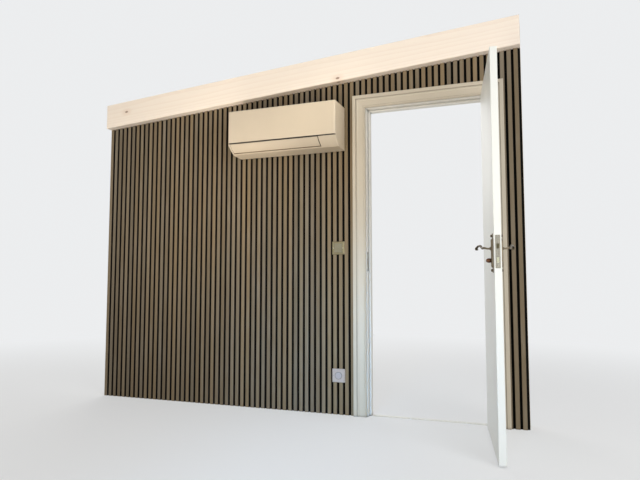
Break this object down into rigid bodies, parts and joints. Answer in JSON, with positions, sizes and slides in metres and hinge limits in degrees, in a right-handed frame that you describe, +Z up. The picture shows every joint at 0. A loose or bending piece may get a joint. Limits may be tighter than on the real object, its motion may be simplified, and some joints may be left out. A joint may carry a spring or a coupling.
{
  "type": "slatted end wall of a holiday lodge with doorway, open door and air conditioner",
  "caption": "Lodge end wall: vertical slats on felt under a sloping rafter, a cased doorway with its hinged lever-lock door, an air conditioner, a light switch and a socket.",
  "frame": {"origin": "on the floor, in the middle of the underside of the long sole plate, on the centre line of the studs", "axes": "+X along the wall from the low end to the high end, +Y from the slatted room side to the plain back, +Z up"},
  "size_m": [3.04, 0.9147, 2.4523],
  "materials": {
    "framing_timber": "planed softwood",
    "painted_board": "white painted boards",
    "black_felt": "matt black felt",
    "oak_slats": "grey-brown oak veneer, matt lacquer",
    "whitewashed_pine": "pine with a thin white wash",
    "satin_paint": "off-white satin paint",
    "threshold_metal": "satin",
    "lock_steel": "brushed nickel plate",
    "hinge_steel": "satin steel",
    "aged_bronze": "dark aged bronze",
    "copper_turn": "rubbed copper tone",
    "ac_plastic": "warm white, soft gloss",
    "ac_grey_plastic": "matt",
    "ac_plate_steel": "galvanised",
    "switch_metal": "olive-champagne satin metal",
    "switch_rocker": "satin",
    "socket_plastic": "white, soft gloss"
  },
  "bodies": {
    "wall": {"sole_plates": "framing_timber", "top_plate": "framing_timber", "door_header": "framing_timber", "studs": "framing_timber", "room_board_left": "painted_board", "room_board_over_door": "painted_board", "room_board_right": "painted_board", "back_board_left": "painted_board", "back_board_over_door": "painted_board", "back_board_right": "painted_board", "felt_left": "black_felt", "felt_over_door": "black_felt", "felt_right": "black_felt", "slats_left": "oak_slats", "slats_over_door": "oak_slats", "slats_right": "oak_slats", "rafter": "whitewashed_pine", "lining_head": "satin_paint", "jamb_latch_side": "satin_paint", "jamb_hinge_side": "satin_paint", "door_stop": "satin_paint", "threshold_bar": "threshold_metal", "strike_plate": "aged_bronze", "architrave_left": "satin_paint", "architrave_head": "satin_paint", "architrave_right": "satin_paint", "back_architrave_left": "satin_paint", "back_architrave_head": "satin_paint", "back_architrave_right": "satin_paint", "hinge_flaps_on_jamb": "hinge_steel", "ac_wall_plate": "ac_plate_steel", "ac_housing": "ac_plastic", "ac_filters": "ac_grey_plastic", "ac_vanes": "ac_grey_plastic", "ac_intake_grille": "ac_grey_plastic", "switch_plate": "switch_metal", "socket_plate": "socket_plastic"},
    "door": {"door_leaf": "satin_paint", "hinge_flaps_on_door": "hinge_steel", "lock_case": "lock_steel", "handle_plate_room": "aged_bronze", "handle_plate_back": "aged_bronze"},
    "lever": {"lever_handles": "aged_bronze"},
    "latch": {"latch_bolt": "lock_steel"},
    "turn": {"privacy_turn": "copper_turn"},
    "dead_bolt": {"dead_bolt": "lock_steel"},
    "ac_cover": {"ac_front_cover": "ac_plastic"},
    "ac_louvre": {"ac_louvre": "ac_plastic"},
    "switch_rocker": {"switch_rocker": "switch_rocker"}
  },
  "joints": [
    {"name": "door_swing", "type": "hinge", "parent": "wall", "child": "door", "pos_m": [1.8235, -0.077, 1], "axis": [0, 0, 1], "range_deg": [-98, 7]},
    {"name": "lever_turn", "type": "hinge", "parent": "door", "child": "lever", "pos_m": [1.89869, -0.78089, 1.011], "axis": [-0.9903, -0.1392, 0], "range_deg": [0, 45], "stiffness_Nm_per_rad": 1.2, "springref_deg": -28.65},
    {"name": "latch_slide", "type": "slide", "parent": "door", "child": "latch", "axis": [0.1392, -0.9903, 0], "range_m": [-0.0095, 0]},
    {"name": "privacy_turn", "type": "hinge", "parent": "door", "child": "turn", "pos_m": [1.89869, -0.78089, 0.954], "axis": [-0.9903, -0.1392, 0], "range_deg": [0, 90]},
    {"name": "dead_bolt_slide", "type": "slide", "parent": "door", "child": "dead_bolt", "axis": [0.1392, -0.9903, 0], "range_m": [0, 0.013]},
    {"name": "ac_cover_lift", "type": "hinge", "parent": "wall", "child": "ac_cover", "pos_m": [0.135, -0.269, 2.0054], "axis": [-1, 0, 0], "range_deg": [0, 60]},
    {"name": "ac_louvre_tilt", "type": "hinge", "parent": "wall", "child": "ac_louvre", "pos_m": [0.135, -0.20995, 1.73933], "axis": [1, 0, 0], "range_deg": [0, 75]},
    {"name": "switch_rock", "type": "hinge", "parent": "wall", "child": "switch_rocker", "pos_m": [0.859, -0.078, 1.078], "axis": [1, 0, 0], "range_deg": [0, 8]}
  ],
  "couplings": [
    {"joint": "latch_slide", "follows": "lever_turn", "m_per_rad": -0.012084},
    {"joint": "privacy_turn", "follows": "dead_bolt_slide", "rad_per_m": 120.71}
  ]
}
